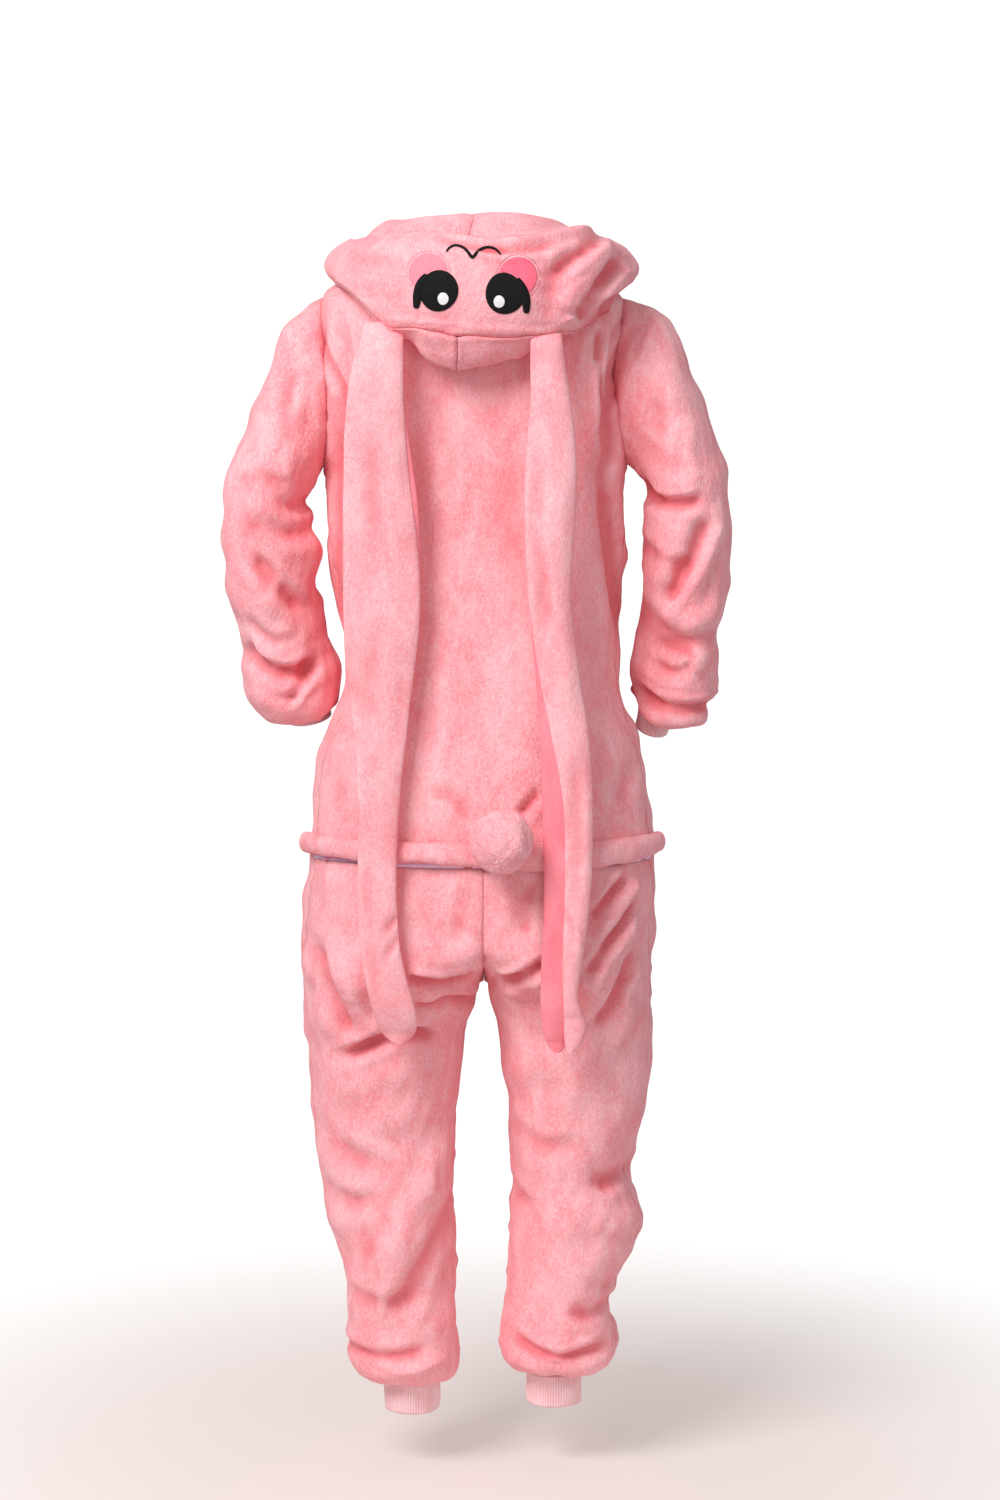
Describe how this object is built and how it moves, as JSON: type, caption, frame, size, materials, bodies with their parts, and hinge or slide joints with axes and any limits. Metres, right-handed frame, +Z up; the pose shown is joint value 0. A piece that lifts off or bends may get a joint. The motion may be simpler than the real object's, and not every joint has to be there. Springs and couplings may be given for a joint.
{
  "type": "hooded bunny onesie",
  "caption": "Hooded fleece onesie as worn, hood laid back with long hanging bunny ears, an appliqued face, pompom tail, zipped seat and ribbed cuffs.",
  "frame": {"origin": "between the shoulders of the wearer, in the neck opening, where the garment is held up", "axes": "+X to the wearer's right, +Y forwards, the way the wearer faces, +Z up; the hood, ears and tail are on the -Y side"},
  "size_m": [0.5782, 0.3639, 1.353],
  "materials": {
    "fleece": "short-pile plush in pale pink, with lighter tips where the nap is brushed",
    "ear_lining": "smooth short fleece in a deeper pink",
    "rib_knit": "rib knit in pale pink",
    "black_cloth": "black satin-stitched cloth",
    "white_cloth": "white satin-stitched cloth",
    "cheek_cloth": "smooth rose-pink cloth with a stitched edge",
    "zip_tape": "woven lilac-pink zip tape with moulded teeth",
    "zip_slider": "painted zip slider in the tape's lilac-pink",
    "buttons": "glossy pink plastic"
  },
  "bodies": {
    "root": {"back": "fleece", "front_left": "fleece", "front_right": "fleece", "seat_leg_left": "fleece", "seat_leg_right": "fleece", "sleeve_left": "fleece", "sleeve_right": "fleece", "wrist_cuff_left": "rib_knit", "wrist_cuff_right": "rib_knit", "ankle_cuff_left": "rib_knit", "ankle_cuff_right": "rib_knit", "hood_nape_left": "fleece", "hood_nape_right": "fleece", "hood_crown": "fleece", "cheek_left": "cheek_cloth", "cheek_right": "cheek_cloth", "eye_left": "black_cloth", "eye_right": "black_cloth", "eye_light_left": "white_cloth", "eye_light_right": "white_cloth", "mouth": "black_cloth", "ear_left": "fleece", "ear_right": "fleece", "ear_lining_left": "ear_lining", "ear_lining_right": "ear_lining", "zip_cover": "fleece", "seat_zip": "zip_tape", "seat_zip_slider": "zip_slider", "tail": "fleece", "placket": "fleece", "button_1": "buttons", "button_2": "buttons", "button_3": "buttons", "button_4": "buttons", "button_5": "buttons"}
  },
  "joints": []
}
